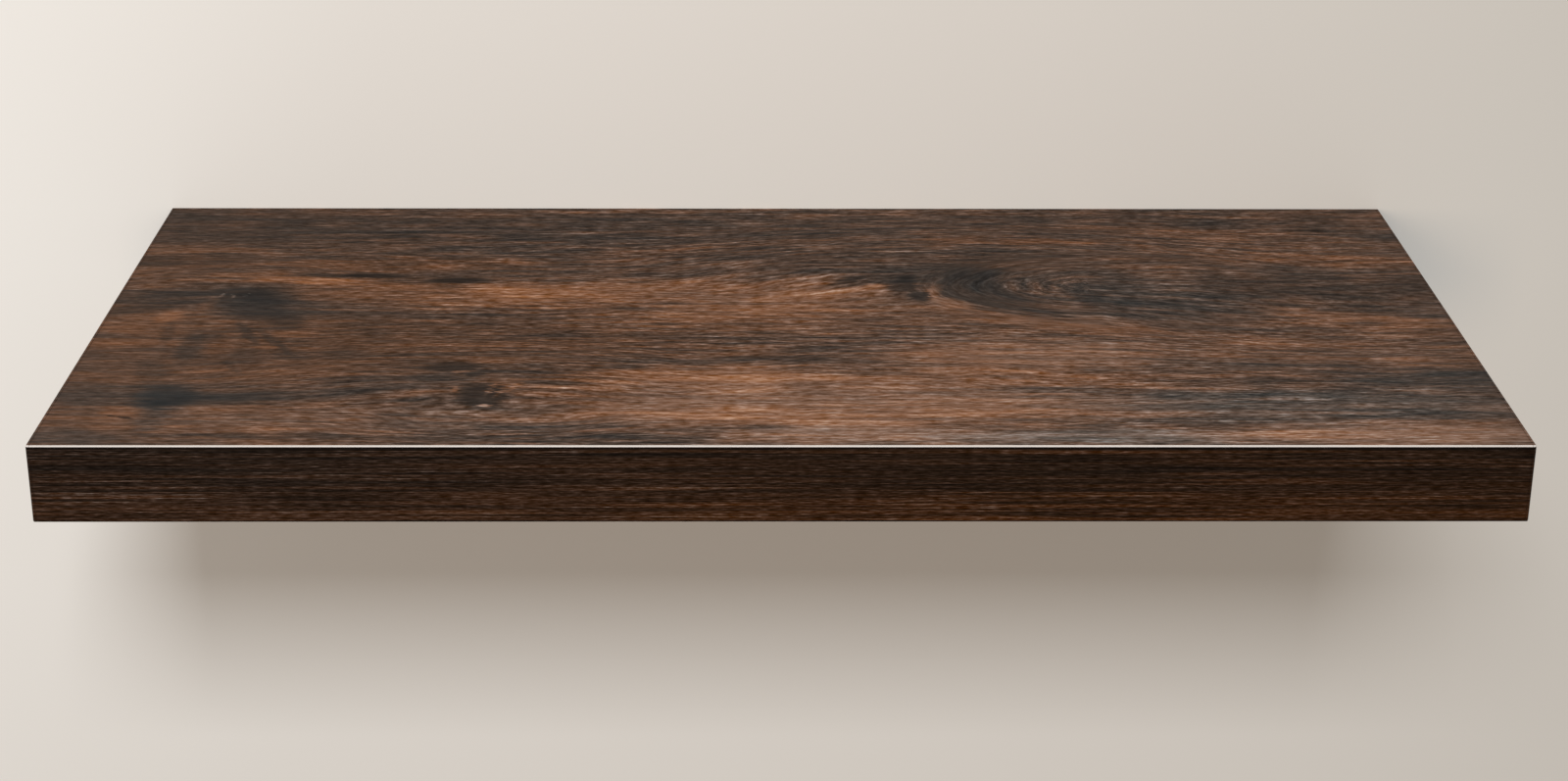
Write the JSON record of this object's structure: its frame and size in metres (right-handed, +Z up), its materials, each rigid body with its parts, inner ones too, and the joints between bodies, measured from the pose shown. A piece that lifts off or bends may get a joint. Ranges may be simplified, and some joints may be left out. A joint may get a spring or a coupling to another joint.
{
  "type": "floating wall shelf",
  "caption": "Deep hollow-core floating shelf in dark wood-decor foil that slides onto a hidden steel wall bracket and is locked from below.",
  "frame": {"origin": "middle of the bracket plate's back face, at the board's mid height and mid width, on the wall", "axes": "+X along the shelf's width, to the right as seen from the room; +Y into the wall; +Z up"},
  "size_m": [0.9, 0.45, 0.05],
  "materials": {
    "decor_foil": "satin dark brown wood-decor foil with near-black figure",
    "decor_band": "satin dark brown wood-decor edge band",
    "fibreboard": "raw brown fibreboard",
    "particleboard": "raw particleboard",
    "pine": "planed softwood",
    "core_paper": "brown kraft paper",
    "black_steel": "fine black powder coat",
    "black_plastic": "matte black",
    "brass": "turned brass",
    "screw_steel": "zinc-plated steel"
  },
  "bodies": {
    "bracket": {"wall_plate": "black_steel", "support_tube_left": "black_steel", "support_tube_centre": "black_steel", "support_tube_right": "black_steel", "weld_ring_left": "black_steel", "weld_ring_centre": "black_steel", "weld_ring_right": "black_steel", "tube_plug_left": "black_plastic", "tube_plug_centre": "black_plastic", "tube_plug_right": "black_plastic"},
    "shelf": {"foil_wrap": "decor_foil", "left_end_band": "decor_band", "right_end_band": "decor_band", "top_skin": "fibreboard", "bottom_skin": "fibreboard", "front_rail": "particleboard", "left_end_rail": "particleboard", "right_end_rail": "particleboard", "back_rail_1": "particleboard", "back_rail_2": "particleboard", "back_rail_3": "particleboard", "back_rail_4": "particleboard", "left_channel_left_side": "pine", "left_channel_right_side": "pine", "left_channel_roof": "pine", "left_channel_floor": "pine", "centre_channel_left_side": "pine", "centre_channel_right_side": "pine", "centre_channel_roof": "pine", "centre_channel_floor": "pine", "right_channel_left_side": "pine", "right_channel_right_side": "pine", "right_channel_roof": "pine", "right_channel_floor": "pine", "honeycomb_1": "core_paper", "honeycomb_2": "core_paper", "honeycomb_3": "core_paper", "honeycomb_4": "core_paper", "threaded_insert_left": "brass", "threaded_insert_right": "brass"},
    "lock_screw_left": {"lock_screw_left": "screw_steel"},
    "lock_screw_right": {"lock_screw_right": "screw_steel"}
  },
  "joints": [
    {"name": "shelf_slide", "type": "slide", "parent": "bracket", "child": "shelf", "axis": [0, -1, 0], "range_m": [0, 0.33]},
    {"name": "lock_screw_left_travel", "type": "slide", "parent": "shelf", "child": "lock_screw_left", "axis": [0, 0, 1], "range_m": [-0.0035, 0]},
    {"name": "lock_screw_right_travel", "type": "slide", "parent": "shelf", "child": "lock_screw_right", "axis": [0, 0, 1], "range_m": [-0.0035, 0]}
  ]
}
